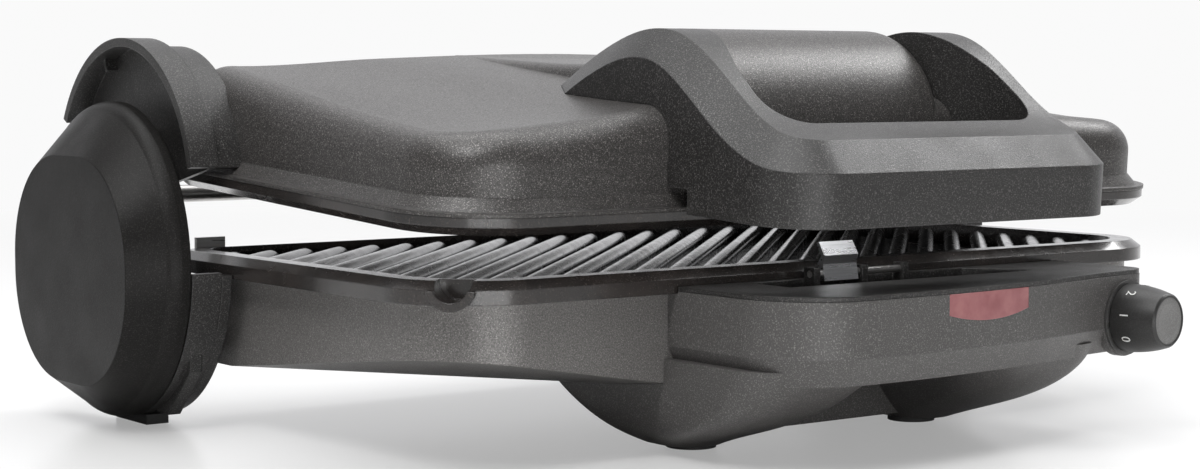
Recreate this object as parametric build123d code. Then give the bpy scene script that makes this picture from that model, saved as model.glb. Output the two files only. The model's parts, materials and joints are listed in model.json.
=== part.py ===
from build123d import *
import math
import os

# Electric contact grill with a lid that lifts and tilts on side hinges.
# X runs left to right, Y runs front to back, Z up. All lengths are in mm.
# The lid and all that rides on it is modelled closed and level, then put in the
# raised, slightly nose-down place that it rests in.

os.makedirs("parts", exist_ok=True)

# ---------------------------------------------------------------- driving sizes

FRAME_SHIFT_Y = 4.24  # puts the origin under the outline's middle
BODY_X = 4.5  # the middle of the plates and hinges, to the right of the handle's middle

# cooking plates
PLATE_INNER_X = 299.0
PLATE_INNER_Y = 161.0
FLANGE_X = 159.0  # half width over the flange
FLANGE_FRONT = -90.0
FLANGE_REAR = 84.0
FLANGE_HEIGHT = 7.0
UPPER_FLANGE_HEIGHT = 5.5
FLANGE_FRONT_RADIUS = 31.0
FLANGE_REAR_RADIUS = 12.0
RIM_FALL = 2.6
RIM_SLOPE = 3.4
PLATE_RECESS = 8.0
PLATE_SKIN = 2.6
PAN_FRONT_RADIUS = 24.0
PAN_REAR_RADIUS = 12.0
RIB_PITCH = 9.84
RIB_RADIUS = 3.0
RIB_HEIGHT = 6.6
RIB_ANGLE = 45.0
RIB_PHASE = 3.1
RIB_MARGIN = 3.5
HEATER_RADIUS = 3.2
SPOUT_RADIUS = 5.6
CLIP_X = -10.0
LUG_THICK = 1.7
LOWER_RIM_TOP = 58.3
CLOSED_GAP = 1.5

# hinge
HINGE_Y = 89.0
HINGE_Z = 55.3
ROD_RADIUS = 3.0
RUNNING_GAP = 0.05
LID_LIFT = 21.5  # how far the lid floats above its closed place at rest
LID_TILT = 3.3  # degrees nose down at rest
FLOAT_SPARE = 3.0  # travel left above the rest place
CAP_RADIUS = 53.5
CAP_RIM_X = 174.0
CAP_FACE_X = 194.5
CAP_WALL = 3.0
HOOD_OUTER_X = 173.0
HOOD_INNER_X = 162.9
HOOD_WALL = 3.0
HOOD_REAR_ANGLE = 25.0  # degrees above the horizontal where the hood's rear edge ends

# base
BASE_X = 153.0
BASE_FRONT = -86.0
BASE_REAR = 83.6
BASE_LOW = 21.0
BASE_TOP = LOWER_RIM_TOP - FLANGE_HEIGHT
BASE_WALL = 2.6
BASE_FRONT_RADIUS = 28.0
BASE_REAR_RADIUS = 14.0

# front control housing
CONTROL_LEFT = -70.0
CONTROL_RIGHT = 98.0
CONTROL_LOW = 26.5
CONTROL_BEND = 35.0
CONTROL_LEAN = 4.5
CONTROL_SEAM = 52.0
CONTROL_WALL = 3.0
DECK_TOP = 53.5
FOOT_X = 48.5
FOOT_Y = -71.0
PAD_HEIGHT = 1.5

# thermostat knob
KNOB_X = 85.0
KNOB_Z = 38.0
KNOB_WALL_Y = -133.5  # where the knob's axis meets the housing's front
KNOB_TURN = 7.0  # degrees that the axis turns from the front towards the right
KNOB_LENGTH = 16.6
KNOB_BACK_RADIUS = 11.2
KNOB_FRONT_RADIUS = 8.9
BEZEL_THICK = 1.0
SHAFT_RADIUS = 3.0

# lid
LID_X = 153.0
LID_FRONT = -86.0
LID_REAR = 84.0
LID_LOW = LOWER_RIM_TOP + CLOSED_GAP + UPPER_FLANGE_HEIGHT
LID_WALL = 3.0
LID_FRONT_RADIUS = 28.0
LID_REAR_RADIUS = 14.0
LID_EDGE_RADIUS = 11.0
LIP_THICK = 1.2
CREST_EDGE_RADIUS = 6.0

# handle
HANDLE_X = 71.0
HANDLE_FRONT = -145.0
HANDLE_LOW = 65.0
HANDLE_CORNER = 20.0
HANDLE_BEVEL = 9.0
ARM_INNER_X = 47.0
GRIP_INNER_X = 57.0
GRIP_INNER_Y = -121.5


# ---------------------------------------------------------------- shared helpers

def plan_face(half_x, front, rear, front_radius, rear_radius):
    """Rounded plan outline, with different corner radii at the front and the rear."""
    outline = Polyline((-half_x, front), (half_x, front), (half_x, rear), (-half_x, rear), close=True)
    face = Sketch() + make_face(outline)
    middle = (front + rear) / 2
    face = fillet([v for v in face.vertices() if v.Y < middle], front_radius)
    return fillet([v for v in face.vertices() if v.Y > middle and abs(v.X) > half_x - 1], rear_radius)


def prism(face, low, high, taper=0.0):
    return Pos(0, 0, low) * extrude(face, high - low, taper=taper)


def across(face, half_x):
    """A side profile, drawn as (Y, Z), carried across the width both ways."""
    return extrude(Plane.YZ * face, half_x, both=True)


def between_x(face, low_x, high_x):
    return extrude(Plane.YZ.offset(low_x) * face, high_x - low_x)


def box(x, y, z):
    """A box from its limits on each axis."""
    size = (x[1] - x[0], y[1] - y[0], z[1] - z[0])
    return Pos((x[0] + x[1]) / 2, (y[0] + y[1]) / 2, (z[0] + z[1]) / 2) * Box(*size)


def rod_x(radius, low_x, high_x, y, z):
    turned = Cylinder(radius, high_x - low_x, rotation=(0, 90, 0))
    return Pos((low_x + high_x) / 2, y, z) * turned


def rod_y(radius, low_y, high_y, x, z):
    turned = Cylinder(radius, high_y - low_y, rotation=(90, 0, 0))
    return Pos(x, (low_y + high_y) / 2, z) * turned


def rod_z(radius, low_z, high_z, x, y):
    return Pos(x, y, (low_z + high_z) / 2) * Cylinder(radius, high_z - low_z)


def lid_place(shape):
    """Carries a piece from the closed, level lid to the raised lid at rest."""
    on_axis = Pos(0, -HINGE_Y, -HINGE_Z) * shape
    tilted = Rot(LID_TILT, 0, 0) * on_axis
    return Pos(0, HINGE_Y, HINGE_Z + LID_LIFT) * tilted


def lifted(shape):
    return Pos(0, 0, LID_LIFT) * shape


def save(shape, name):
    placed = Pos(-BODY_X, FRAME_SHIFT_Y, 0) * shape
    solids = placed.solids()
    node = solids[0] if len(solids) == 1 else Compound(children=list(solids))
    node.label = name
    export_step(node, os.path.join("parts", name + ".step"))


def on_body(shape):
    """Moves a piece drawn about X = 0 to the middle of the plates and hinges."""
    return Pos(BODY_X, 0, 0) * shape


def mirrored(shape):
    return mirror(shape, about=Plane.YZ)


def save_pair(left, name):
    """Saves a hinge piece drawn for the left side, and its mirror image for the right."""
    save(on_body(left), name + "_left")
    save(on_body(mirrored(left)), name + "_right")


# ---------------------------------------------------------------- cooking plates

def rib_bank(floor):
    """Half-round ribs at 45 degrees from front left to back right, with sloped ends."""
    half_run = 0.5 * (PLATE_INNER_X + PLATE_INNER_Y)
    bar_height = RIB_HEIGHT - RIB_RADIUS
    profile = Polyline((-RIB_RADIUS, bar_height), (-RIB_RADIUS, -0.5), (RIB_RADIUS, -0.5), (RIB_RADIUS, bar_height))
    crown = ThreePointArc((RIB_RADIUS, bar_height), (0, RIB_HEIGHT), (-RIB_RADIUS, bar_height))
    section = Plane.YZ * make_face(profile + crown)
    bar = extrude(section, half_run, both=True)
    reach = half_run / math.sqrt(2)
    count = int(reach / RIB_PITCH)
    bars = [Pos(0, RIB_PHASE + i * RIB_PITCH, floor) * bar for i in range(-count, count + 1)]
    bank = Rot(0, 0, RIB_ANGLE) * Compound(children=[b.solid() for b in bars])
    half_x = PLATE_INNER_X / 2 - RIB_MARGIN
    half_y = PLATE_INNER_Y / 2 - RIB_MARGIN
    outline = plan_face(half_x, -half_y, half_y, PAN_FRONT_RADIUS - RIB_MARGIN, PAN_REAR_RADIUS - RIB_MARGIN)
    field = prism(outline, floor - 0.4, floor + RIB_HEIGHT + 1, taper=22)
    return [trimmed for trimmed in (b & field for b in bank.solids()) if trimmed]


def flange_face(grow):
    return plan_face(FLANGE_X + grow, FLANGE_FRONT - grow, FLANGE_REAR + grow,
                     FLANGE_FRONT_RADIUS + grow, FLANGE_REAR_RADIUS + grow)


def grill_plate(flange_height):
    """A cast plate with its ribs up. The rim is highest beside the pan, at z = 0, and falls outwards."""
    flange = prism(flange_face(0), -flange_height, -RIM_FALL)
    slope = loft([Pos(0, 0, -RIM_FALL) * flange_face(0), flange_face(-RIM_SLOPE)], ruled=True)
    flange = flange + slope
    half_x = PLATE_INNER_X / 2
    half_y = PLATE_INNER_Y / 2
    bottom = -PLATE_RECESS - PLATE_SKIN
    pan_plan = plan_face(half_x, -half_y, half_y, PAN_FRONT_RADIUS, PAN_REAR_RADIUS)
    pan = prism(pan_plan, bottom, -flange_height + 1)
    inside = plan_face(half_x - 1.5, -half_y + 1.5, half_y - 1.5, PAN_FRONT_RADIUS - 1.5, PAN_REAR_RADIUS - 1.5)
    hollow = prism(inside, -PLATE_RECESS, 2, taper=-8)
    plate = flange + pan - hollow
    return plate + rib_bank(-PLATE_RECESS)


def plate_lug(flange_height):
    """The lug on the front of the flange that a clip holds."""
    middle = CLIP_X - BODY_X
    lug_z = (-flange_height, -flange_height + LUG_THICK)
    return box((middle - 5, middle + 5), (FLANGE_FRONT - 2.4, FLANGE_FRONT + 2), lug_z)


def grease_spout():
    """A trough through the rim at the front left corner, and the lip under it."""
    corner = Pos(-FLANGE_X + FLANGE_FRONT_RADIUS, FLANGE_FRONT + FLANGE_FRONT_RADIUS, -1.2) * Rot(0, 0, -45)
    lip = corner * rod_y(SPOUT_RADIUS + 1.8, -FLANGE_FRONT_RADIUS - 2.5, -FLANGE_FRONT_RADIUS + 4, 0, 0)
    trough = corner * rod_y(SPOUT_RADIUS, -FLANGE_FRONT_RADIUS - 4, -FLANGE_FRONT_RADIUS + 10, 0, 0.8)
    return lip - box((-300, 300), (-300, 300), (-RIM_FALL, 20)), trough


def heater_loop(z):
    """A tubular element bent in a U with its two cold ends at the rear right."""
    path = FilletPolyline((118, 60, z), (118, -52, z), (-118, -52, z), (-118, 52, z), (100, 52, z),
                          radius=22)
    start = Plane(origin=path @ 0, z_dir=path % 0)
    return sweep(start * Circle(HEATER_RADIUS), path=path)


def reflector(low):
    """A sheet-metal tray behind the element."""
    outer = prism(plan_face(136, -74, 72, 10, 10), low, low + 5.0)
    inner = prism(plan_face(135.4, -73.4, 71.4, 9.4, 9.4), low + 0.6, low + 6.0)
    return outer - inner


spout_lip, spout_trough = grease_spout()
lower_plate = grill_plate(FLANGE_HEIGHT) + plate_lug(FLANGE_HEIGHT) + spout_lip - spout_trough
save(on_body(Pos(0, 0, LOWER_RIM_TOP) * lower_plate), "lower_grill_plate")
lower_heater = heater_loop(LOWER_RIM_TOP - PLATE_RECESS - PLATE_SKIN - HEATER_RADIUS)
save(on_body(lower_heater), "lower_heater")
save(on_body(reflector(36.0)), "lower_reflector")

closed_mirror = Plane.XY.offset(LOWER_RIM_TOP + CLOSED_GAP / 2)
upper_plate = Pos(0, 0, LOWER_RIM_TOP) * (grill_plate(UPPER_FLANGE_HEIGHT) + plate_lug(UPPER_FLANGE_HEIGHT))
save(lid_place(on_body(mirror(upper_plate, about=closed_mirror))), "upper_grill_plate")
save(lid_place(on_body(mirror(lower_heater, about=closed_mirror))), "upper_heater")
save(lid_place(on_body(mirror(reflector(37.5), about=closed_mirror))), "upper_reflector")


# ---------------------------------------------------------------- base

CORNER_RISE_X = 0.17  # how fast the underside climbs towards a front corner
CORNER_RISE_Y = 0.116
CORNER_START = 0.65


def corner_wedge(side, inset):
    """What is cut from under a front corner, so that the base's edge sweeps up to it."""
    slope = (-side * CORNER_RISE_X, CORNER_RISE_Y, 1)
    under = Plane(origin=(0, 0, CORNER_START + inset), x_dir=(0, 1, -CORNER_RISE_Y), z_dir=slope)
    return under * Pos(0, 0, -100) * Box(900, 900, 200)


def base_form(inset):
    face = plan_face(BASE_X - inset, BASE_FRONT + inset, BASE_REAR - inset,
                     BASE_FRONT_RADIUS - inset, BASE_REAR_RADIUS - inset)
    form = prism(face, BASE_LOW + inset, BASE_TOP + (1 if inset else 0))
    for side in (-1, 1):
        form = form - corner_wedge(side, inset)
    return on_body(form)


base_housing = base_form(0) - base_form(BASE_WALL)

# bridges that carry the hinge towers, below the flange and in front of the hinge
BRIDGE_FRONT = HINGE_Y - 27
BRIDGE_REAR = HINGE_Y - 10
tower_bridge = box((-HOOD_INNER_X - 2, -BASE_X), (BRIDGE_FRONT, BRIDGE_REAR), (25, HINGE_Z - 10))
tower_bridge = fillet(tower_bridge.edges().filter_by(Axis.X), 4)


# ---------------------------------------------------------------- hinge towers and caps

SLOT_HALF = 6.2
POST_INNER_X = 165.9
POST_OUTER_X = 170.1
SHELL_ARC_END = 278  # degrees, past the lowest point, where the lower shell ends


def ring_sector(outer, inner, start_deg, end_deg):
    """A sector of a ring about the hinge, in (Y, Z), angles from +Y towards +Z."""
    def at(radius, degrees):
        angle = math.radians(degrees)
        return (HINGE_Y + radius * math.cos(angle), HINGE_Z + radius * math.sin(angle))
    middle = (start_deg + end_deg) / 2
    outer_arc = ThreePointArc(at(outer, start_deg), at(outer, middle), at(outer, end_deg))
    inner_arc = ThreePointArc(at(inner, end_deg), at(inner, middle), at(inner, start_deg))
    ends = Line(at(outer, end_deg), at(inner, end_deg)) + Line(at(inner, start_deg), at(outer, start_deg))
    return make_face(outer_arc + inner_arc + ends)


def tower():
    """The left hinge tower: a guide post in a rounded lower shell."""
    low = HINGE_Z - CAP_RADIUS + HOOD_WALL - 0.2
    post_outline = Polyline(
        (HINGE_Y - 48, HINGE_Z - 10), (HINGE_Y - 44, low + 16), (HINGE_Y - 28, low),
        (HINGE_Y + 7, low), (HINGE_Y + 7, HINGE_Z - 24), (HINGE_Y + 13, HINGE_Z - 14),
        (HINGE_Y + 13, HINGE_Z + 44), (HINGE_Y - 13, HINGE_Z + 44), (HINGE_Y - 13, HINGE_Z - 10),
        close=True)
    post = between_x(make_face(post_outline), -POST_OUTER_X, -POST_INNER_X)
    slot_low = HINGE_Z - 9
    slot_high = HINGE_Z + LID_LIFT + FLOAT_SPARE + 9
    post = post - box((-POST_OUTER_X - 1, -POST_INNER_X + 1), (HINGE_Y - SLOT_HALF, HINGE_Y + SLOT_HALF),
                      (slot_low, slot_high))
    inner_x = -HOOD_INNER_X
    shell = between_x(ring_sector(CAP_RADIUS, CAP_RADIUS - 3, 182, SHELL_ARC_END), -CAP_RIM_X + 0.5, inner_x)
    side_wall = between_x(ring_sector(CAP_RADIUS - 1, 30, 192, 262), -POST_INNER_X, inner_x)
    bosses = [rod_x(4.0, -CAP_RIM_X - 3, -POST_OUTER_X + 1, y, z) for y, z in CAP_SCREW_PLACES]
    return post + shell + side_wall + bosses


CAP_SCREW_PLACES = [(HINGE_Y - 26, HINGE_Z - 26), (HINGE_Y - 2, HINGE_Z - 40), (HINGE_Y, HINGE_Z + 39.5)]


def cap_section(width, height, radius, drop, x):
    """One section of a cap. Its centre drops from the hinge's axis towards the flat face."""
    centre = Pos(HINGE_Y - 1.4 * drop, HINGE_Z - drop)
    return Plane.YZ.offset(x) * centre * RectangleRounded(width, height, radius)


def cap_form(inset):
    """A round skirt, a rounded shoulder and a cone that ends in a flat, nearly square face."""
    size = 2 * (CAP_RADIUS - inset)
    half = CAP_RADIUS - inset
    shoulder = -CAP_RIM_X - 3 + (1 if inset else 0)
    rim = cap_section(size, size, half - 0.2, 0, -CAP_RIM_X + (1 if inset else 0))
    edge = cap_section(size, size, half - 0.2, 0, shoulder)
    turn = cap_section(size - 4.4, size - 5.4, half - 3.2, 0.3, shoulder - 4.6)
    face = cap_section(size - 18, size - 31, half - 18, 2.5, -CAP_FACE_X + inset)
    middle = cap_section(size - 1.2, size - 1.4, half - 0.9, 0.1, shoulder - 2.3)
    return loft([rim, edge], ruled=True) + loft([edge, middle, turn]) + loft([turn, face], ruled=True)


def side_cap():
    solid_cap = cap_form(0)
    cap = solid_cap - cap_form(CAP_WALL)
    for y, z in CAP_SCREW_PLACES:
        cap = cap + (rod_x(5.0, -CAP_FACE_X + 1, -CAP_RIM_X - 3, y, z) & solid_cap)
    return cap


save_pair(tower() + tower_bridge, "hinge_tower")
save_pair(side_cap(), "side_cap")


# ---------------------------------------------------------------- front control housing

def control_face(inset):
    """Plan of the control housing: straight left side, bowed front and a flat for the knob."""
    left = CONTROL_LEFT + inset
    right = CONTROL_RIGHT - inset
    corner = 26.0 - inset
    front = -147.0 + inset
    slope = math.tan(math.radians(KNOB_TURN))
    flat_left = (KNOB_X - 15, KNOB_WALL_Y - 15 * slope + inset)
    small = 9.0 - inset
    flat_right = (right - small, KNOB_WALL_Y + (right - small - KNOB_X) * slope + inset)
    left_arc = ThreePointArc(
        (left, front + corner), (left + corner * 0.293, front + corner * 0.293), (left + corner, front))
    bow = ThreePointArc((left + corner, front), (22, -144.4 + inset), flat_left)
    knob_flat = Line(flat_left, flat_right)
    side_start = (right, flat_right[1] + small)
    right_arc = ThreePointArc(flat_right, (right - small * 0.293, flat_right[1] + small * 0.293), side_start)
    rest = Polyline(side_start, (right, BASE_FRONT), (left, BASE_FRONT), (left, front + corner))
    return make_face(left_arc + bow + knob_flat + right_arc + rest)


def control_form(inset):
    """The housing's volume. Below the bend line its walls lean in."""
    low = Pos(0, 0, CONTROL_LOW + inset) * control_face(CONTROL_LEAN + inset)
    bend = Pos(0, 0, CONTROL_BEND) * control_face(inset)
    return loft([low, bend], ruled=True) + prism(control_face(inset), CONTROL_BEND, CONTROL_SEAM + (5 if inset else 0))


def foot(side, reach):
    """A keel-shaped foot that the housing sweeps down to."""
    def level(z, outer, inner, front, rear, radius):
        width = outer - inner
        depth = rear - front
        centre = Pos(side * (outer + inner) / 2, (front + rear) / 2, z)
        return centre * RectangleRounded(width, depth, radius)
    return loft([
        level(31.0, reach, 14, -136, -8, 16),
        level(21.0, reach, 24, -128, -16, 15),
        level(12.0, 71.0, 31, -113, -33, 13),
        level(6.0, 68.0, 36, -95, -47, 11),
        level(PAD_HEIGHT, 60.5, 41, -82, -57, 8),
    ])


control_inside = control_form(CONTROL_WALL) - box((-200, 200), (BASE_FRONT - CONTROL_WALL, 0), (0, 100))
feet = foot(-1, 71.5) + foot(1, 76.0)
cross_panel = box((-FOOT_X + 6, FOOT_X - 6), (-75, -71.5), (3.5, 26.0))
cross_roof = box((-FOOT_X, FOOT_X), (BASE_FRONT - 4, -71.5), (BASE_LOW - 3, BASE_LOW))
front_housing = control_form(0) + feet + cross_panel + cross_roof - control_inside - base_form(0)
front_housing = front_housing - box((-200, 200), (FLANGE_FRONT - 1.0, 0), (BASE_TOP, 100))

LENS_LEFT = -10.5
LENS_RIGHT = 27.5
LENS_TOP = CONTROL_SEAM
LENS_LOW = 43.2
LENS_SIDE = 45.6
lens_outline = Polyline(
    (LENS_LEFT, LENS_SIDE), (LENS_LEFT, LENS_TOP), (LENS_RIGHT, LENS_TOP), (LENS_RIGHT, LENS_SIDE))
lens_low = ThreePointArc((LENS_RIGHT, LENS_SIDE), (8.5, LENS_LOW), (LENS_LEFT, LENS_SIDE))
lens_tool = extrude(Plane.XZ.offset(120) * make_face(lens_outline + lens_low), 40)
lens = lens_tool & (prism(control_face(0), 30, CONTROL_SEAM) - prism(control_face(2.4), 29, CONTROL_SEAM + 1))
front_housing = front_housing - lens_tool


def on_knob_axis(shape):
    """Places a piece drawn along +Z from the housing's front onto the knob's axis."""
    return Pos(KNOB_X, KNOB_WALL_Y, KNOB_Z) * Rot(0, 0, KNOB_TURN) * Rot(90, 0, 0) * shape


def on_axis_rod(radius, start, end):
    return on_knob_axis(Pos(0, 0, (start + end) / 2) * Cylinder(radius, end - start))


front_housing = front_housing + on_axis_rod(12.8, -2.9, 0) - on_axis_rod(13.6, 0, 4)
front_housing = front_housing - on_axis_rod(SHAFT_RADIUS + 0.4, -12, 3)
save(front_housing, "front_housing")
save(lens, "pilot_lens")
save(rod_x(2.2, 2, 16, -138.0, 43.0), "pilot_lamp")

DECK_PLUG_LOW = 47.0
CLIP_Y = -96.6
CLIP_Z = 55.2
PIN_RADIUS = 1.2
PIN_START = CLIP_X - 11.5
PIN_END = 20.0
deck_lip = prism(control_face(0.2), CONTROL_SEAM, DECK_TOP)
deck_plug = prism(control_face(CONTROL_WALL + 0.2), DECK_PLUG_LOW, CONTROL_SEAM)
deck = deck_lip + deck_plug - box((-200, 200), (FLANGE_FRONT - 1.0, 0), (0, 100))
recess_outline = Polyline((-44, -113), (-44, -94), (49, -94), (62.5, -113.5), (56, -114.5), close=True)
deck = deck - prism(make_face(recess_outline), DECK_PLUG_LOW + 1.8, 60)
deck = deck - box((CLIP_X - 9, CLIP_X + 9), (-104, -90), (40, 60))
lug_places = (PIN_START, CLIP_X + 9.0, PIN_END - 3.0)
lug_y = (CLIP_Y - 2.2, CLIP_Y + 2.6)
pin_lugs = [box((x, x + 2.5), lug_y, (DECK_PLUG_LOW, CLIP_Z + 2.0)) for x in lug_places]
deck = deck + pin_lugs - rod_x(PIN_RADIUS, PIN_START, PIN_END, CLIP_Y, CLIP_Z)
save(deck, "front_deck")


# ---------------------------------------------------------------- thermostat and knob

bezel = on_axis_rod(12.4, 0, BEZEL_THICK) - on_axis_rod(SHAFT_RADIUS + 0.4, -1, 2)
save(bezel, "knob_bezel")
thermostat = on_knob_axis(box((-9, 9), (-6, 6), (-38, -13)))
thermostat = thermostat - on_axis_rod(SHAFT_RADIUS + RUNNING_GAP, -23, -12)
save(thermostat, "thermostat")
save(on_axis_rod(SHAFT_RADIUS, -22, 11), "thermostat_shaft")

knob_low = BEZEL_THICK + 0.3
knob_end = KNOB_LENGTH - 0.6
cap_seat = KNOB_LENGTH - 1.8
cap_radius = KNOB_FRONT_RADIUS - 1.2
knob_outline = Polyline((0, knob_low), (KNOB_BACK_RADIUS, knob_low), (KNOB_BACK_RADIUS, 4.0))
knob_side = ThreePointArc((KNOB_BACK_RADIUS, 4.0), (KNOB_BACK_RADIUS - 0.7, 10), (KNOB_FRONT_RADIUS, knob_end))
knob_rest = Polyline(
    (KNOB_FRONT_RADIUS, knob_end), (KNOB_FRONT_RADIUS - 0.6, KNOB_LENGTH), (cap_radius, KNOB_LENGTH),
    (cap_radius, cap_seat), (0, cap_seat), (0, knob_low))
knob_turned = revolve(Plane.XZ * make_face(knob_outline + knob_side + knob_rest), Axis.Z)
save(on_knob_axis(knob_turned) - on_axis_rod(SHAFT_RADIUS, -1, 11), "thermostat_knob")
cap_dish = Pos(0, 0, cap_seat + 31.0) * Sphere(30)
save(on_knob_axis(Pos(0, 0, cap_seat + 0.75) * Cylinder(cap_radius, 1.5) - cap_dish), "knob_cap")


# ---------------------------------------------------------------- plate clips


NOSE_Z = BASE_TOP + 2.0  # just above the lug on the plate


def plate_clip():
    """A bent steel clip: an eye on its pin, a nose over the plate's lug and a finger tab."""
    profile = Polyline(
        (CLIP_Y - 2.4, CLIP_Z - 2.2), (CLIP_Y + 2.0, CLIP_Z - 2.2), (CLIP_Y + 2.0, NOSE_Z),
        (FLANGE_FRONT - 0.4, NOSE_Z), (FLANGE_FRONT - 0.9, NOSE_Z + 1.3), (CLIP_Y + 2.2, NOSE_Z + 1.7),
        (CLIP_Y + 1.0, CLIP_Z + 3.4), (CLIP_Y - 0.6, CLIP_Z + 5.6), (CLIP_Y + 1.6, CLIP_Z + 9.6),
        (CLIP_Y + 0.6, CLIP_Z + 10.0), (CLIP_Y - 2.2, CLIP_Z + 5.8), (CLIP_Y - 1.4, CLIP_Z + 3.0), close=True)
    clip = extrude(Plane.YZ.offset(CLIP_X) * make_face(profile), 7.2, both=True)
    return clip - rod_x(PIN_RADIUS + RUNNING_GAP, PIN_START, PIN_END, CLIP_Y, CLIP_Z)


save(plate_clip(), "lower_plate_latch")
save(rod_x(PIN_RADIUS, PIN_START, PIN_END, CLIP_Y, CLIP_Z), "lower_latch_pin")


# ---------------------------------------------------------------- lid housing

LID_SECTIONS = (
    # y, the top's height at the side, near it, beside the arms and in the middle, then the plateau's step
    (-92.0, 88.2, 91.0, 97.2, 99.5, 2.6),
    (-30.0, 88.7, 91.6, 97.4, 100.5, 2.6),
    (30.0, 96.0, 97.0, 100.4, 103.0, 1.6),
    (90.0, 105.4, 101.2, 104.6, 106.0, 0.4),
)
PLATEAU_X = 70.0
PLATEAU_FOOT_X = 86.0


def lid_section(y, side, near, arm, middle, step, inset):
    """One cross-section of the lid, whose low plateau is centred on the handle."""
    edge = LID_X + 6
    heights = (
        (BODY_X - edge, side - 1), (BODY_X - 126, near), (-PLATEAU_FOOT_X, arm - step), (-PLATEAU_X, arm),
        (0, middle), (PLATEAU_X, arm), (PLATEAU_FOOT_X, arm - step), (BODY_X + 126, near), (BODY_X + edge, side - 1))
    top = Spline([(x, height - inset) for x, height in heights])
    low = LID_LOW + (-1 if inset else 0)
    walls = Polyline(top @ 1, (BODY_X + edge, low), (BODY_X - edge, low), top @ 0)
    return Plane.XZ.offset(-y) * make_face(top + walls)


def lid_form(inset):
    """The lid's main moulding, without the crest."""
    body = loft([lid_section(*row, inset) for row in LID_SECTIONS])
    face = plan_face(LID_X - inset, LID_FRONT + inset, LID_REAR - inset,
                     LID_FRONT_RADIUS - inset, LID_REAR_RADIUS - inset)
    body = body & on_body(prism(face, LID_LOW - 5, 140))
    rim = [e for e in body.edges() if e.center().Z > 84 and e.bounding_box().size.Z < 60
           and e.bounding_box().min.Z > 80]
    return fillet(rim, LID_EDGE_RADIUS - inset)


def crest_form(inset):
    """The raised middle that rolls over at the front, between the handle's arms."""
    front = LID_FRONT + inset
    roll = 34.0 - inset
    top = 119.4 - inset
    wall = Line((front, 70), (front, top - roll))
    roll_arc = ThreePointArc((front, top - roll), (front + roll * 0.293, top - roll * 0.293), (front + roll, top))
    back = Spline((front + roll, top), (-32, 112.2 - inset), (-12, 106.6 - inset), (20, 104.6 - inset),
                  (78, 104.2 - inset), tangents=((1, 0), (1, 0)))
    closing = Polyline(back @ 1, (78, 90), (20, 80), (front + 8, 70), wall @ 0)
    form = across(make_face(wall + roll_arc + back + closing), ARM_INNER_X - inset)
    rolled = [e for e in form.edges() if abs(e.center().X) > 1 and e.center().Y < 20 and e.center().Z > 90]
    return fillet(rolled, CREST_EDGE_RADIUS - inset / 2)


def lid_lip():
    """The lip that flares out over the plate's flange."""
    plate_edge = flange_face(0.4)
    wall_foot = plan_face(LID_X, LID_FRONT, LID_REAR, LID_FRONT_RADIUS, LID_REAR_RADIUS)
    flare_foot = plan_face(LID_X + 3.6, LID_FRONT - 2.6, LID_REAR + 0.2, LID_FRONT_RADIUS + 2, LID_REAR_RADIUS)
    lip = prism(plate_edge, LID_LOW, LID_LOW + LIP_THICK)
    lip_top = LID_LOW + LIP_THICK
    flare = loft([Pos(0, 0, lip_top) * flare_foot, Pos(0, 0, lip_top + 4) * wall_foot], ruled=True)
    hollow = plan_face(LID_X - LID_WALL, LID_FRONT + LID_WALL, LID_REAR - LID_WALL,
                       LID_FRONT_RADIUS - LID_WALL, LID_REAR_RADIUS - LID_WALL)
    return on_body(lip + flare - prism(hollow, LID_LOW - 1, LID_LOW + 8))


lid_solid = lid_form(0) + crest_form(0)
lid_housing = lid_solid - (lid_form(LID_WALL) + crest_form(LID_WALL)) + lid_lip()


# ---------------------------------------------------------------- hinge hoods

COLLAR_RADIUS = 50.8
COLLAR_WALL = 4.5
WEB_FRONT_ANGLE = 165.0
HOOD_RIB_PLACES = ((-27, 38), (22, 41))  # clear of the guide post while the lid turns


def hood():
    """The left hinge hood: an arched shell over the tower, with a collar that runs into the lid."""
    web_x = -HOOD_INNER_X - 2.0
    arch_ring = ring_sector(CAP_RADIUS, CAP_RADIUS - HOOD_WALL, HOOD_REAR_ANGLE, 179)
    arch = between_x(arch_ring, -HOOD_OUTER_X, -HOOD_INNER_X)
    web = between_x(ring_sector(CAP_RADIUS - 1, 0.01, HOOD_REAR_ANGLE, WEB_FRONT_ANGLE), web_x, -HOOD_INNER_X)
    boss = rod_x(8.0, web_x, -HOOD_INNER_X, HINGE_Y, HINGE_Z)
    collar_ring = ring_sector(COLLAR_RADIUS, COLLAR_RADIUS - COLLAR_WALL, HOOD_REAR_ANGLE + 10, WEB_FRONT_ANGLE)
    collar = between_x(collar_ring, -HOOD_INNER_X - 1, 12 - LID_X)
    collar = collar & box((-200, 0), (-200, 200), (LID_LOW + LIP_THICK + 0.3, 140))
    ribs = []
    for dy, dz in HOOD_RIB_PLACES:
        rib_y = (HINGE_Y + dy - 0.8, HINGE_Y + dy + 0.8)
        ribs.append(box((-HOOD_OUTER_X + 4, web_x + 0.5), rib_y, (HINGE_Z + dz, HINGE_Z + dz + 7)))
    bore = rod_x(ROD_RADIUS + RUNNING_GAP, -HOOD_OUTER_X, -HOOD_INNER_X + 20, HINGE_Y, HINGE_Z)
    return arch + web + boss + collar + ribs - bore


lid_space = lid_form(0) + lid_lip()
left_hood = hood()
save(lid_place(on_body(left_hood) - lid_space), "hinge_hood_left")
save(lid_place(on_body(mirrored(left_hood)) - lid_space), "hinge_hood_right")
save(lid_place(lid_housing), "lid_housing")


# ---------------------------------------------------------------- floating hinge

save(lifted(on_body(rod_x(ROD_RADIUS, -POST_OUTER_X, POST_OUTER_X, HINGE_Y, HINGE_Z))), "hinge_rod")


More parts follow.
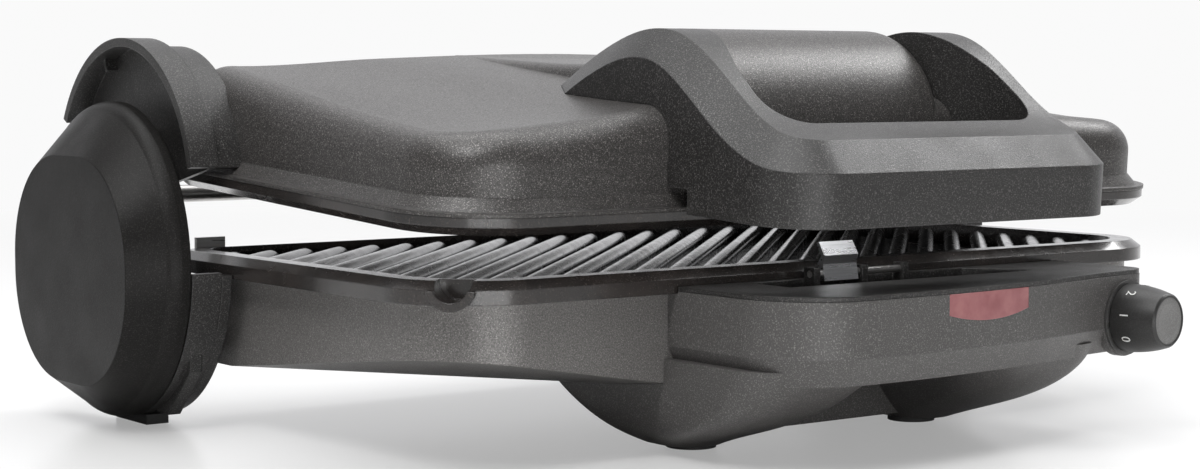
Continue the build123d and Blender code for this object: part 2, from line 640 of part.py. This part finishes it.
def carriage():
    """A slider in the tower's slot, with a flange outside it."""
    block = box((-POST_OUTER_X, -POST_INNER_X), (HINGE_Y - SLOT_HALF + 0.15, HINGE_Y + SLOT_HALF - 0.15),
                (HINGE_Z - 8, HINGE_Z + 8))
    flange = box((-POST_OUTER_X - 1.8, -POST_OUTER_X - 0.15), (HINGE_Y - 9, HINGE_Y + 9), (HINGE_Z - 8, HINGE_Z + 8))
    neck = box((-POST_OUTER_X - 0.15, -POST_OUTER_X), (HINGE_Y - 5, HINGE_Y + 5), (HINGE_Z - 6, HINGE_Z + 6))
    return block + flange + neck - rod_x(ROD_RADIUS + RUNNING_GAP, -POST_OUTER_X - 5, -POST_INNER_X + 5, HINGE_Y, HINGE_Z)


save_pair(lifted(carriage()), "hinge_carriage")


# ---------------------------------------------------------------- handle

def handle_top():
    """Side profile of the handle, from the tips of the arms over the ridge to the grip."""
    top = Spline((-17, 99.0), (-30, 106.8), (-46, 114.6), (-64, 119.6), (-80, 118.4), (-91, 113.4), (-101, 106.8),
                 (-119, 95.2), (-131, 91.0), (-146, 90.2), tangents=((-1, 0.6), (-1, -0.02)))
    rest = Polyline(top @ 1, (-146, HANDLE_LOW), (-84, HANDLE_LOW), (-84, 80), (-17, 80), top @ 0)
    return make_face(top + rest)


def opening_face(inset):
    """Plan of the opening between the arms, which widens towards the grip."""
    outline = Polyline(
        (-GRIP_INNER_X - inset, GRIP_INNER_Y - inset), (GRIP_INNER_X + inset, GRIP_INNER_Y - inset),
        (GRIP_INNER_X - 2 + inset, -98), (ARM_INNER_X + inset, -76), (ARM_INNER_X + inset, 20),
        (-ARM_INNER_X - inset, 20), (-ARM_INNER_X - inset, -76), (-GRIP_INNER_X + 2 - inset, -98), close=True)
    face = Sketch() + make_face(outline)
    face = fillet([v for v in face.vertices() if v.Y < -110], 13.0 + inset)
    return fillet([v for v in face.vertices() if -99 < v.Y < -75], 20.0)


handle_plan = plan_face(HANDLE_X, HANDLE_FRONT, 30.0, HANDLE_CORNER, 2.0)
handle = across(handle_top(), HANDLE_X + 1) & prism(handle_plan, 50, 140)
ridge_edges = [e for e in handle.edges() if e.bounding_box().min.Z > 88
               and (abs(e.center().X) > HANDLE_X - 12 or e.center().Y < HANDLE_FRONT + 4)
               and e.bounding_box().size.Y + e.bounding_box().size.X > 4]
handle = chamfer(ridge_edges, HANDLE_BEVEL)
handle = handle - prism(opening_face(0), 50, 140)
lid_plan = plan_face(LID_X, LID_FRONT, LID_REAR, LID_FRONT_RADIUS, LID_REAR_RADIUS)
handle = handle - lid_solid - on_body(prism(lid_plan, 50, 88)) - lid_lip()
handle = handle - box((-200, 200), (-96, -80), (50, 72.5))


def grip_ring(inset):
    """The plan of the U that the grip and the front ends of its arms make."""
    outer = plan_face(HANDLE_X - inset, HANDLE_FRONT + inset, -100.0, HANDLE_CORNER - inset, 1.0)
    return outer - opening_face(inset)


handle = handle - prism(grip_ring(3.0), 60, 81)
underside = prism(grip_ring(3.2), HANDLE_LOW, HANDLE_LOW + 2.0)
save(lid_place(handle), "handle")
save(lid_place(underside), "handle_underside")


# ---------------------------------------------------------------- upper plate clip

UPPER_LUG_LOW = LID_LOW - LUG_THICK  # the underside of the upper plate's lug


def upper_clip():
    """A spring clip on the lid's front wall whose nose holds the upper plate's lug."""
    hook_y = FLANGE_FRONT - 3.2
    profile = Polyline(
        (LID_FRONT, LID_LOW + 6.4), (hook_y, LID_LOW + 6.4), (hook_y, UPPER_LUG_LOW - 0.3),
        (FLANGE_FRONT - 0.5, UPPER_LUG_LOW - 0.3), (FLANGE_FRONT - 1.2, UPPER_LUG_LOW - 1.5),
        (hook_y - 1.2, UPPER_LUG_LOW - 1.5), (hook_y - 1.2, LID_LOW + 7.6), (LID_FRONT, LID_LOW + 7.6), close=True)
    return extrude(Plane.YZ.offset(CLIP_X) * make_face(profile), 6.0, both=True)


save(lid_place(upper_clip()), "upper_plate_latch")


# ---------------------------------------------------------------- feet, inlet and fasteners

pad = rod_z(8.0, 0, PAD_HEIGHT, FOOT_X, FOOT_Y)
save(pad + mirrored(pad), "front_foot_pads")
rear_pad = box((-CAP_RIM_X + 1.5, -HOOD_INNER_X - 1.5), (HINGE_Y - 16, HINGE_Y + 8), (0, 3.4))
rear_pad = rear_pad - rod_x(CAP_RADIUS, -200, -100, HINGE_Y, HINGE_Z)
save(on_body(rear_pad + mirrored(rear_pad)), "rear_foot_pads")

CATCH_REAR = HINGE_Y - ROD_RADIUS - 0.3
catch = box((-147.5, -136.5), (BASE_REAR, CATCH_REAR), (BASE_TOP - 8, LOWER_RIM_TOP + 3.3))
catch = catch - box((-200, 0), (BASE_REAR, FLANGE_REAR + 0.15), (BASE_TOP, 100))
save(on_body(catch + mirrored(catch)), "plate_catches")

INLET_X = 104.0
INLET_Z = 37.0
inlet = rod_y(7.0, BASE_REAR, BASE_REAR + 3, INLET_X, INLET_Z)
inlet = inlet + rod_y(5.0, BASE_REAR - 6, BASE_REAR + 9, INLET_X, INLET_Z)
inlet = inlet - rod_y(2.8, BASE_REAR - 10, BASE_REAR + 20, INLET_X, INLET_Z)
save(inlet, "cable_inlet")
save(base_housing - rod_y(5.0, BASE_REAR - 10, BASE_REAR + 10, INLET_X, INLET_Z), "base_housing")

SCREW_HEAD = 3.2
base_screws = [rod_z(SCREW_HEAD, BASE_LOW - 1.2, BASE_LOW, x, y) for x in (-112, 112) for y in (40, 66)]
save(Compound(children=[head.solid() for head in base_screws]), "base_screws")
underside_screws = [rod_z(2.6, HANDLE_LOW - 0.8, HANDLE_LOW, x, -134) for x in (-44, 0, 44)]
save(lid_place(Compound(children=[head.solid() for head in underside_screws])), "handle_screws")
save(box((60, 100), (20, 50), (BASE_LOW + BASE_WALL, BASE_LOW + BASE_WALL + 9)), "terminal_block")

print("built")
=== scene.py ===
"""Looks of the electric contact grill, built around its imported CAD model. Lengths in metres."""

import json
import math

import bmesh
import bpy
from mathutils import Matrix, Vector

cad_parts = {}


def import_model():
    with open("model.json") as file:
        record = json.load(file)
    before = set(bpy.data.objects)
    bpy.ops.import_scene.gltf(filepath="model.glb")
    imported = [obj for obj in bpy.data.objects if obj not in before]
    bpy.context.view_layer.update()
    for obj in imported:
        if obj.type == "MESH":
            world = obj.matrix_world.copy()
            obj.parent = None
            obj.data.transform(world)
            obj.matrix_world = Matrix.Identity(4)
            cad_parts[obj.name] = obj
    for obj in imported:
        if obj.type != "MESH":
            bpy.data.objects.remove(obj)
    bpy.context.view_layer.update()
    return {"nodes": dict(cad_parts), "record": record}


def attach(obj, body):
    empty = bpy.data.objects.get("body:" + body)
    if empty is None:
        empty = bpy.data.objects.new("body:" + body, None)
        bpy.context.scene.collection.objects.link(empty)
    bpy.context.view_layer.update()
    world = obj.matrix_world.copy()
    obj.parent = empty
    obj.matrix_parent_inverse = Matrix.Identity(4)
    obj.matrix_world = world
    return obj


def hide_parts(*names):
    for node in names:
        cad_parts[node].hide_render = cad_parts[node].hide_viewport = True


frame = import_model()

MM = 0.001
SHIFT_X = -4.5 * MM  # the handle's middle, measured from the origin
SHIFT_Y = 4.24 * MM  # the plate's middle, measured from the origin
SIDES = (("left", -1), ("right", 1))  # each side's name and its sign along X


# ---------------------------------------------------------------- material helpers

class Shader:
    """A material with one Principled shader and small helpers for its nodes."""

    def __init__(self, name, color, roughness, metallic=0.0):
        self.material = bpy.data.materials.new(name)
        self.material.use_nodes = True
        self.tree = self.material.node_tree
        self.main = self.tree.nodes["Principled BSDF"]
        self.main.inputs["Base Color"].default_value = (*color, 1)
        self.main.inputs["Roughness"].default_value = roughness
        self.main.inputs["Metallic"].default_value = metallic
        self.place = self.node("ShaderNodeTexCoord").outputs["Object"]
        self.normal = None

    def node(self, kind, **settings):
        made = self.tree.nodes.new(kind)
        for key, value in settings.items():
            setattr(made, key, value)
        return made

    def link(self, source, target):
        self.tree.links.new(source, target)

    def noise(self, scale, detail=2.0, rough=0.5, stretch=None):
        """A noise value. The scale is in features per metre, and stretch scales it by axis."""
        place = self.place
        if stretch:
            mapping = self.node("ShaderNodeMapping")
            mapping.inputs["Scale"].default_value = stretch
            self.link(place, mapping.inputs["Vector"])
            place = mapping.outputs["Vector"]
        made = self.node("ShaderNodeTexNoise")
        made.inputs["Scale"].default_value = scale
        made.inputs["Detail"].default_value = detail
        made.inputs["Roughness"].default_value = rough
        self.link(place, made.inputs["Vector"])
        return made.outputs["Fac"]

    def span(self, source, low, high, at_low=0.0, at_high=1.0):
        """Maps a value that runs from low to high onto at_low to at_high, clamped."""
        made = self.node("ShaderNodeMapRange")
        made.inputs["From Min"].default_value = low
        made.inputs["From Max"].default_value = high
        made.inputs["To Min"].default_value = at_low
        made.inputs["To Max"].default_value = at_high
        self.link(source, made.inputs["Value"])
        return made.outputs["Result"]

    def mix(self, factor, first, second):
        """Mixes two colours, each given as a tuple or as another node's output."""
        made = self.node("ShaderNodeMix", data_type="RGBA")
        self.link(factor, made.inputs["Factor"])
        for value, target in ((first, made.inputs["A"]), (second, made.inputs["B"])):
            if isinstance(value, tuple):
                target.default_value = (*value, 1)
            else:
                self.link(value, target)
        return made.outputs["Result"]

    def color(self, source):
        self.link(source, self.main.inputs["Base Color"])

    def roughness(self, source):
        self.link(source, self.main.inputs["Roughness"])

    def bump(self, source, depth, strength):
        made = self.node("ShaderNodeBump")
        made.inputs["Distance"].default_value = depth
        made.inputs["Strength"].default_value = strength
        self.link(source, made.inputs["Height"])
        if self.normal:
            self.link(self.normal, made.inputs["Normal"])
        self.normal = made.outputs["Normal"]
        self.link(self.normal, self.main.inputs["Normal"])

    def soften_edges(self, radius):
        """Rounds the shading at sharp edges, so that they catch the light. Comes before bump."""
        made = self.node("ShaderNodeBevel", samples=6)
        made.inputs["Radius"].default_value = radius
        self.normal = made.outputs["Normal"]
        self.link(self.normal, self.main.inputs["Normal"])

    def set(self, **sockets):
        """Sets sockets by name, with an underscore for each blank."""
        for name, value in sockets.items():
            self.main.inputs[name.replace("_", " ")].default_value = value


# ---------------------------------------------------------------- materials

def charcoal(name, dark, light, fleck):
    """Satin charcoal lacquer with fine metallic flecks over a pebbled ground."""
    shader = Shader(name, dark, roughness=0.4, metallic=0.15)
    shader.soften_edges(0.7 * MM)
    pebble = shader.noise(scale=1700, detail=2, rough=0.65)
    flecks = shader.span(shader.noise(scale=2900, detail=1, rough=0.6), 0.57, 0.72)
    ground = shader.mix(shader.span(pebble, 0.36, 0.64), dark, light)
    shader.color(shader.mix(flecks, ground, fleck))
    shader.roughness(shader.span(pebble, 0.3, 0.7, at_low=0.44, at_high=0.3))
    shader.bump(pebble, depth=0.09 * MM, strength=0.9)
    return shader.material


def moulding(name, ground, crest, grain_scale, grain_depth, rough, specular=0.5):
    """Black moulded plastic with a spark-eroded grain whose crests catch the light."""
    shader = Shader(name, ground, rough)
    shader.set(Specular_IOR_Level=specular)
    shader.soften_edges(0.6 * MM)
    grain = shader.noise(grain_scale, detail=2, rough=0.65)
    shader.color(shader.mix(shader.span(grain, 0.53, 0.74), ground, crest))
    handled = shader.noise(scale=60, detail=3)
    shader.roughness(shader.span(handled, 0.3, 0.7, at_low=rough - 0.04, at_high=rough + 0.05))
    shader.bump(grain, grain_depth, strength=0.9)
    return shader.material


def nonstick_plate():
    """Semi-gloss non-stick coating on cast aluminium, specked, and warmer where use wore it."""
    coating = (0.017, 0.0155, 0.015)
    worn = (0.034, 0.028, 0.0255)
    speck = (0.09, 0.078, 0.07)
    shader = Shader("nonstick_plate", (0.02, 0.018, 0.017), roughness=0.24)
    shader.soften_edges(0.6 * MM)
    specks = shader.span(shader.noise(scale=1900, detail=2, rough=0.6), 0.6, 0.72)
    wear = shader.span(shader.noise(scale=46, detail=3, rough=0.6), 0.35, 0.7)
    shader.color(shader.mix(specks, shader.mix(wear, coating, worn), speck))
    film = shader.noise(scale=160, detail=3)
    shader.roughness(shader.span(film, 0.3, 0.7, at_low=0.17, at_high=0.29))
    shader.bump(shader.noise(scale=1100, detail=2), depth=0.02 * MM, strength=0.5)
    shader.set(Coat_Weight=0.5, Coat_Roughness=0.14)
    return shader.material


def steel(name, color, roughness, line_depth):
    """Bare steel or aluminium, drawn or brushed along X."""
    shader = Shader(name, color, roughness, metallic=1.0)
    lines = shader.noise(scale=700, detail=3, rough=0.6, stretch=(0.06, 1, 1))
    dull = tuple(0.72 * part for part in color)
    shader.color(shader.mix(shader.span(lines, 0.35, 0.7), color, dull))
    shader.roughness(
        shader.span(lines, 0.3, 0.7, at_low=0.75 * roughness, at_high=1.3 * roughness))
    shader.bump(lines, line_depth, strength=0.6)
    return shader.material


def plain_plastic(name, color, roughness, grain_scale):
    """Moulded plastic with a faint grain, for small parts."""
    shader = Shader(name, color, roughness)
    shader.soften_edges(0.3 * MM)
    grain = shader.noise(grain_scale, detail=2, rough=0.6)
    lighter = tuple(min(1.0, 1.5 * part + 0.01) for part in color)
    shader.color(shader.mix(shader.span(grain, 0.45, 0.75), color, lighter))
    handled = shader.noise(scale=90, detail=2)
    shader.roughness(
        shader.span(handled, 0.3, 0.7, at_low=roughness - 0.05, at_high=roughness + 0.06))
    shader.bump(grain, depth=0.03 * MM, strength=0.6)
    return shader.material


def red_lens():
    """Dull red lens, a little translucent, with a faint cloud in the plastic."""
    deep = (0.36, 0.12, 0.13)
    pale = (0.48, 0.19, 0.195)
    shader = Shader("red_lens", (0.3, 0.035, 0.045), roughness=0.16)
    shader.soften_edges(0.4 * MM)
    cloud = shader.span(shader.noise(scale=160, detail=3), 0.3, 0.7)
    shader.color(shader.mix(cloud, deep, pale))
    film = shader.noise(scale=500, detail=2)
    shader.roughness(shader.span(film, 0.3, 0.7, at_low=0.12, at_high=0.24))
    shader.bump(shader.noise(scale=900, detail=1), depth=0.02 * MM, strength=0.4)
    shader.set(Transmission_Weight=0.25, IOR=1.49)
    return shader.material


def rubber():
    """Matt black rubber."""
    shader = Shader("foot_rubber", (0.025, 0.025, 0.025), roughness=0.8)
    shader.soften_edges(0.3 * MM)
    grain = shader.noise(scale=1200, detail=3)
    shader.color(shader.mix(grain, (0.02, 0.02, 0.02), (0.045, 0.045, 0.045)))
    shader.bump(grain, depth=0.06 * MM, strength=0.6)
    return shader.material


def white_print():
    """Matt white ink, slightly worn."""
    fresh = (0.84, 0.84, 0.82)
    worn = (0.68, 0.68, 0.66)
    shader = Shader("white_print", (0.8, 0.8, 0.78), roughness=0.5)
    wear = shader.span(shader.noise(scale=900, detail=3), 0.4, 0.7)
    shader.color(shader.mix(wear, fresh, worn))
    return shader.material


MATERIALS = {
    "charcoal_fleck": charcoal(
        "charcoal_fleck",
        dark=(0.028, 0.026, 0.025), light=(0.06, 0.057, 0.055), fleck=(0.27, 0.255, 0.245)),
    "black_moulding": moulding(
        "black_moulding", ground=(0.016, 0.0152, 0.0148), crest=(0.15, 0.145, 0.14),
        grain_scale=2300, grain_depth=0.1 * MM, rough=0.4),
    "nonstick_plate": nonstick_plate(),
    "knob_black": plain_plastic("knob_black", (0.02, 0.0195, 0.019), 0.42, grain_scale=2300),
    "knob_grey": plain_plastic("knob_grey", (0.16, 0.158, 0.155), 0.5, grain_scale=2600),
    "light_ring": plain_plastic("light_ring", (0.05, 0.049, 0.048), 0.3, grain_scale=1800),
    "element_steel": steel("element_steel", (0.34, 0.32, 0.3), 0.45, line_depth=0.03 * MM),
    "sheet_aluminium": steel("sheet_aluminium", (0.68, 0.68, 0.69), 0.35, line_depth=0.02 * MM),
    "lamp_glass": plain_plastic("lamp_glass", (0.7, 0.3, 0.2), 0.2, grain_scale=900),
    "red_lens": red_lens(),
    "foot_rubber": rubber(),
    "bright_steel": steel("bright_steel", (0.58, 0.57, 0.56), 0.32, line_depth=0.02 * MM),
    "chrome_clip": steel("chrome_clip", (0.88, 0.89, 0.91), 0.3, line_depth=0.01 * MM),
}
CAP_BLACK = moulding(
    "black_moulding_matt", ground=(0.009, 0.0085, 0.008), crest=(0.04, 0.038, 0.036),
    grain_scale=2600, grain_depth=0.08 * MM, rough=0.42, specular=0.16)
# Painted light: the front housing gets a lighter copy of the black moulding, which stands in for
# the light that falls on its front.
FRONT_BLACK_PAINTED_LIGHT = moulding(
    "black_moulding_painted_light", ground=(0.072, 0.069, 0.067), crest=(0.24, 0.23, 0.225),
    grain_scale=2300, grain_depth=0.1 * MM, rough=0.42)
# Painted light: the base gets a lighter copy of the charcoal lacquer, which stands in for the
# light that falls on it.
BASE_CHARCOAL_PAINTED_LIGHT = charcoal(
    "charcoal_painted_light",
    dark=(0.1, 0.096, 0.092), light=(0.17, 0.163, 0.158), fleck=(0.36, 0.345, 0.335))
WHITE_PRINT = white_print()

NODE_LOOKS = {  # nodes that are darker or lighter than the rest of their slot; the front housing and the base are lighter as painted light
    "side_cap_left": CAP_BLACK,
    "side_cap_right": CAP_BLACK,
    "front_housing": FRONT_BLACK_PAINTED_LIGHT,
    "base_housing": BASE_CHARCOAL_PAINTED_LIGHT,
}


def dress_nodes():
    """Gives each CAD node its own look, or the finished material of its slot."""
    for part in frame["record"]["subparts"]:
        thing = frame["nodes"][part["node"]]
        look = NODE_LOOKS.get(part["node"], MATERIALS[part["material_slot"]])
        for slot in thing.material_slots:
            slot.material = look


# ---------------------------------------------------------------- knob markings

KNOB_X = 85 * MM + SHIFT_X
KNOB_Z = 38 * MM
KNOB_WALL_Y = -133.5 * MM + SHIFT_Y  # where the knob's axis leaves the housing
KNOB_TURN = math.radians(7)  # how far the knob's axis points to the side of straight ahead
KNOB_SKIRT_RADIUS = 11.2 * MM
DIAL_MARKS = "012345"
FIRST_MARK = math.radians(213)
MARK_STEP = math.radians(43)
MARK_OUT = 6.2 * MM  # how far the marks' middle stands in front of the housing
MARK_HEIGHT = 4.6 * MM
MARK_HALF_THICKNESS = 0.06 * MM
MARK_SINK = 0.12 * MM  # how deep the marks' middle lies below the skirt's widest radius


def knob_frame():
    """Turns a piece drawn along +Z from the housing onto the knob's axis."""
    place = Matrix.Translation((KNOB_X, KNOB_WALL_Y, KNOB_Z))
    return place @ Matrix.Rotation(KNOB_TURN, 4, "Z") @ Matrix.Rotation(math.pi / 2, 4, "X")


def dial_mark(text, angle):
    """A printed figure on the knob's skirt, which reads from the knob's end."""
    curve = bpy.data.curves.new("dial_mark_" + text, "FONT")
    curve.body = text
    curve.size = MARK_HEIGHT
    curve.extrude = MARK_HALF_THICKNESS
    curve.align_x = "CENTER"
    curve.align_y = "CENTER"
    piece = bpy.data.objects.new("dial_mark_" + text, curve)
    bpy.context.collection.objects.link(piece)
    out = Vector((math.cos(angle), math.sin(angle), 0))
    up = Vector((0, 0, 1))
    turn = Matrix((up.cross(out), up, out)).transposed().to_4x4()
    place = out * (KNOB_SKIRT_RADIUS - MARK_SINK) + up * MARK_OUT
    piece.matrix_world = knob_frame() @ Matrix.Translation(place) @ turn
    curve.materials.append(WHITE_PRINT)
    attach(piece, "knob")


def dial_marks():
    for index, text in enumerate(DIAL_MARKS):
        dial_mark(text, FIRST_MARK - index * MARK_STEP)


# ---------------------------------------------------------------- hinge hoods and tower skirts
# Angles about the hinge are in degrees from +Y towards +Z.

HINGE_Y = 89 * MM + SHIFT_Y
TOWER_AXIS_Z = 55.3 * MM  # the hinge's axis with the lid closed, which the towers are drawn about
LID_AXIS_Z = TOWER_AXIS_Z + 21.5 * MM  # the hinge's axis at rest
LID_TILT = 3.3  # how far the lid is turned about the hinge at rest, in degrees
RIM_RADIUS = 53.5 * MM
WALL = 3.0 * MM
WEB_THICK = 2.0 * MM
WEB_RADIUS = RIM_RADIUS - WALL
HOOD_ANGLES = (25.0, 164.5)  # from the hood's rear edge to its front edge
HOOD_OUTER_X = 173.0 * MM
HOOD_INNER_X = 162.9 * MM
BOSS_RADIUS = 8 * MM
ROD_BORE = 3.1 * MM
RIB_ANGLES = (62, 125)
RIB_HALF_ANGLE = 1
RIB_INNER_RADIUS = 46.5 * MM
RIB_SETBACK = 4 * MM  # how far the ribs stop behind the hood's outer edge
COLLAR_RADIUS = 50.8 * MM
COLLAR_START = HOOD_ANGLES[0] + 10
COLLAR_INNER_X = 151.0 * MM
SKIRT_INNER_X = 159.2 * MM
SKIRT_RIM_ANGLES = (183, 277)
SKIRT_WEB_ANGLES = (192, 262)
SKIRT_WEB_INNER_RADIUS = 30 * MM
WHOLE_TURN = (0, 360)
ARC_STEP = 3  # degrees along an arc for each face
CRISP_ANGLE = math.radians(30)  # edges that bend more than this stay sharp


def add_sector(mesh, side, axis_z, radii, angles, span):
    """Adds a sector of a ring about the hinge, closed at its ends. The span is along X."""
    sweep = angles[1] - angles[0]
    whole = angles == WHOLE_TURN
    steps = max(2, round(sweep / ARC_STEP))
    corners = ((radii[0], span[0]), (radii[0], span[1]), (radii[1], span[1]), (radii[1], span[0]))
    rings = []
    for index in range(steps if whole else steps + 1):
        angle = math.radians(angles[0] + sweep * index / steps)
        rings.append([
            mesh.verts.new((
                side * x, HINGE_Y + radius * math.cos(angle), axis_z + radius * math.sin(angle)))
            for radius, x in corners])
    following = rings[1:] + rings[:1] if whole else rings[1:]
    for ring, after in zip(rings, following):
        for here in range(4):
            there = (here + 1) % 4
            mesh.faces.new((ring[here], ring[there], after[there], after[here]))
    if not whole:
        mesh.faces.new(rings[0])
        mesh.faces.new(rings[-1])


def ring_piece(name, side, axis_z, sectors):
    """A piece made of ring sectors, smooth along its arcs and crisp at its edges."""
    mesh = bmesh.new()
    for radii, angles, span in sectors:
        add_sector(mesh, side, axis_z, radii, angles, span)
    bmesh.ops.recalc_face_normals(mesh, faces=mesh.faces)
    data = bpy.data.meshes.new(name)
    mesh.to_mesh(data)
    mesh.free()
    data.shade_smooth()
    data.set_sharp_from_angle(angle=CRISP_ANGLE)
    data.materials.append(MATERIALS["black_moulding"])
    piece = bpy.data.objects.new(name, data)
    bpy.context.collection.objects.link(piece)
    return piece


def tilted(start, end):
    """Angles of the closed lid, as they are at rest."""
    return (start + LID_TILT, end + LID_TILT)


def hinge_hood(side_name, side):
    """An arched hood with a web, a boss for the rod, a collar on the lid and two ribs."""
    arch = tilted(*HOOD_ANGLES)
    web = (HOOD_INNER_X, HOOD_INNER_X + WEB_THICK)
    collar = tilted(COLLAR_START, HOOD_ANGLES[1])
    sectors = [
        ((RIM_RADIUS, WEB_RADIUS), arch, (HOOD_INNER_X, HOOD_OUTER_X)),
        ((WEB_RADIUS, BOSS_RADIUS), arch, web),
        ((BOSS_RADIUS, ROD_BORE), WHOLE_TURN, web),
        ((COLLAR_RADIUS, COLLAR_RADIUS - WALL), collar, (COLLAR_INNER_X, HOOD_INNER_X)),
    ]
    for middle in RIB_ANGLES:
        sectors.append((
            (WEB_RADIUS, RIB_INNER_RADIUS),
            tilted(middle - RIB_HALF_ANGLE, middle + RIB_HALF_ANGLE),
            (web[1], HOOD_OUTER_X - RIB_SETBACK)))
    piece = ring_piece("hood_shell_" + side_name, side, LID_AXIS_Z, sectors)
    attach(piece, "lid")
    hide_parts("hinge_hood_" + side_name)


def tower_skirt(side_name, side):
    """The tower shell's inner band, beside the base."""
    web = (SKIRT_INNER_X, SKIRT_INNER_X + WEB_THICK)
    sectors = [
        ((RIM_RADIUS, WEB_RADIUS), SKIRT_RIM_ANGLES, (SKIRT_INNER_X, HOOD_INNER_X)),
        ((WEB_RADIUS, SKIRT_WEB_INNER_RADIUS), SKIRT_WEB_ANGLES, web),
    ]
    piece = ring_piece("tower_skirt_" + side_name, side, TOWER_AXIS_Z, sectors)
    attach(piece, "base")


# ---------------------------------------------------------------- stage and light

BACKDROP_WHITE = (0.955, 0.955, 0.955, 1)
BACKDROP_DIRECTION = (0.59, 0.79, 0.16)  # away from the camera
BACKDROP_LIGHT = 0.95
STUDIO_LIGHT = 0.1  # from every direction that faces away from the backdrop
FLOOR_SIZE = 24
FLOOR_Z = -0.2 * MM  # just below the feet
FLOOR_FADE = (0.35, 1.3)  # distances from the origin between which the floor turns white
FLOOR_WHITE_NEAR = 0.35  # the backdrop's share in what the camera sees of the floor near the grill


def floor():
    """A pale floor with a soft reflection that fades into the white behind it."""
    bpy.ops.mesh.primitive_plane_add(size=FLOOR_SIZE, location=(0, 0, FLOOR_Z))
    plane = bpy.context.object
    plane.name = "floor"
    shader = Shader("floor_pale", (0.88, 0.88, 0.875), roughness=0.22)
    cloud = shader.noise(scale=3, detail=2)
    shader.color(shader.mix(cloud, (0.87, 0.87, 0.865), (0.89, 0.89, 0.885)))
    shader.set(Specular_IOR_Level=0.3)
    distance = shader.node("ShaderNodeVectorMath", operation="LENGTH")
    shader.link(shader.place, distance.inputs[0])
    far = shader.span(distance.outputs["Value"], *FLOOR_FADE, at_low=FLOOR_WHITE_NEAR)
    light_path = shader.node("ShaderNodeLightPath")
    seen = shader.node("ShaderNodeMath", operation="MULTIPLY")
    shader.link(far, seen.inputs[0])
    shader.link(light_path.outputs["Is Camera Ray"], seen.inputs[1])
    white = shader.node("ShaderNodeEmission")
    white.inputs["Color"].default_value = BACKDROP_WHITE
    blend = shader.node("ShaderNodeMixShader")
    shader.link(seen.outputs["Value"], blend.inputs["Fac"])
    shader.link(shader.main.outputs["BSDF"], blend.inputs[1])
    shader.link(white.outputs["Emission"], blend.inputs[2])
    output = shader.tree.nodes["Material Output"]
    shader.link(blend.outputs["Shader"], output.inputs["Surface"])
    plane.data.materials.append(shader.material)


def world():
    """Soft light, strongest from the white backdrop. The camera sees plain white."""
    made = bpy.data.worlds.new("studio")
    bpy.context.scene.world = made
    made.use_nodes = True
    nodes = made.node_tree.nodes
    links = made.node_tree.links
    direction = nodes.new("ShaderNodeTexCoord")
    facing = nodes.new("ShaderNodeVectorMath")
    facing.operation = "DOT_PRODUCT"
    facing.inputs[1].default_value = BACKDROP_DIRECTION
    links.new(direction.outputs["Generated"], facing.inputs[0])
    strength = nodes.new("ShaderNodeMapRange")
    strength.inputs["From Min"].default_value = 0.1
    strength.inputs["From Max"].default_value = 0.95
    strength.inputs["To Min"].default_value = STUDIO_LIGHT
    strength.inputs["To Max"].default_value = BACKDROP_LIGHT
    links.new(facing.outputs["Value"], strength.inputs["Value"])
    light = nodes["Background"]
    light.inputs["Color"].default_value = (0.98, 0.98, 1, 1)
    links.new(strength.outputs["Result"], light.inputs["Strength"])
    seen = nodes.new("ShaderNodeBackground")
    seen.inputs["Color"].default_value = BACKDROP_WHITE
    path = nodes.new("ShaderNodeLightPath")
    mix = nodes.new("ShaderNodeMixShader")
    links.new(path.outputs["Is Camera Ray"], mix.inputs["Fac"])
    links.new(light.outputs["Background"], mix.inputs[1])
    links.new(seen.outputs["Background"], mix.inputs[2])
    links.new(mix.outputs["Shader"], nodes["World Output"].inputs["Surface"])


def softbox(name, place, target, size, watts):
    """A rectangular lamp that faces its target. The size is its width and height."""
    light = bpy.data.lights.new(name, "AREA")
    light.shape = "RECTANGLE"
    light.size, light.size_y = size
    light.energy = watts
    lamp = bpy.data.objects.new(name, light)
    bpy.context.collection.objects.link(lamp)
    lamp.location = place
    aim = Vector(target) - Vector(place)
    lamp.rotation_euler = aim.to_track_quat("-Z", "Y").to_euler()


def lights():
    middle = (0, 0, 0.06)
    softbox("key_above", (-0.1, 0.1, 1.4), middle, size=(1.6, 1.3), watts=18)
    softbox("right_above", (0.95, -0.1, 1.0), middle, size=(0.5, 0.5), watts=8)
    softbox("left_above", (-0.7, -0.4, 1.0), middle, size=(0.45, 0.45), watts=6)
    softbox("front_low", (-0.5, -1.5, 0.12), (0, 0, 0.03), size=(1.3, 0.2), watts=6)


# ---------------------------------------------------------------- camera

CAMERA_PLACE = Vector((-504.0, -633.4, 117.75)) * MM + Vector((SHIFT_X, SHIFT_Y, 0))
CAMERA_YAW = math.radians(36.71)  # from +Y towards +X
CAMERA_DIP = math.radians(3.98)
SENSOR_WIDTH = 36.0  # in millimetres, as Blender has it
FOCAL_LENGTH = 68.8
NEAR_LIMIT = 10 * MM


def camera():
    """The photograph's camera, fitted to it."""
    data = bpy.data.cameras.new("camera")
    data.sensor_width = SENSOR_WIDTH
    data.lens = FOCAL_LENGTH
    data.clip_start = NEAR_LIMIT
    seen_from = bpy.data.objects.new("camera", data)
    bpy.context.collection.objects.link(seen_from)
    seen_from.location = CAMERA_PLACE
    seen_from.rotation_euler = (math.pi / 2 - CAMERA_DIP, 0, -CAMERA_YAW)
    bpy.context.scene.camera = seen_from


# ---------------------------------------------------------------- assembly

dress_nodes()
dial_marks()
for side_name, side in SIDES:
    hinge_hood(side_name, side)
    tower_skirt(side_name, side)
floor()
world()
lights()
camera()
bpy.context.scene.view_settings.view_transform = "Standard"
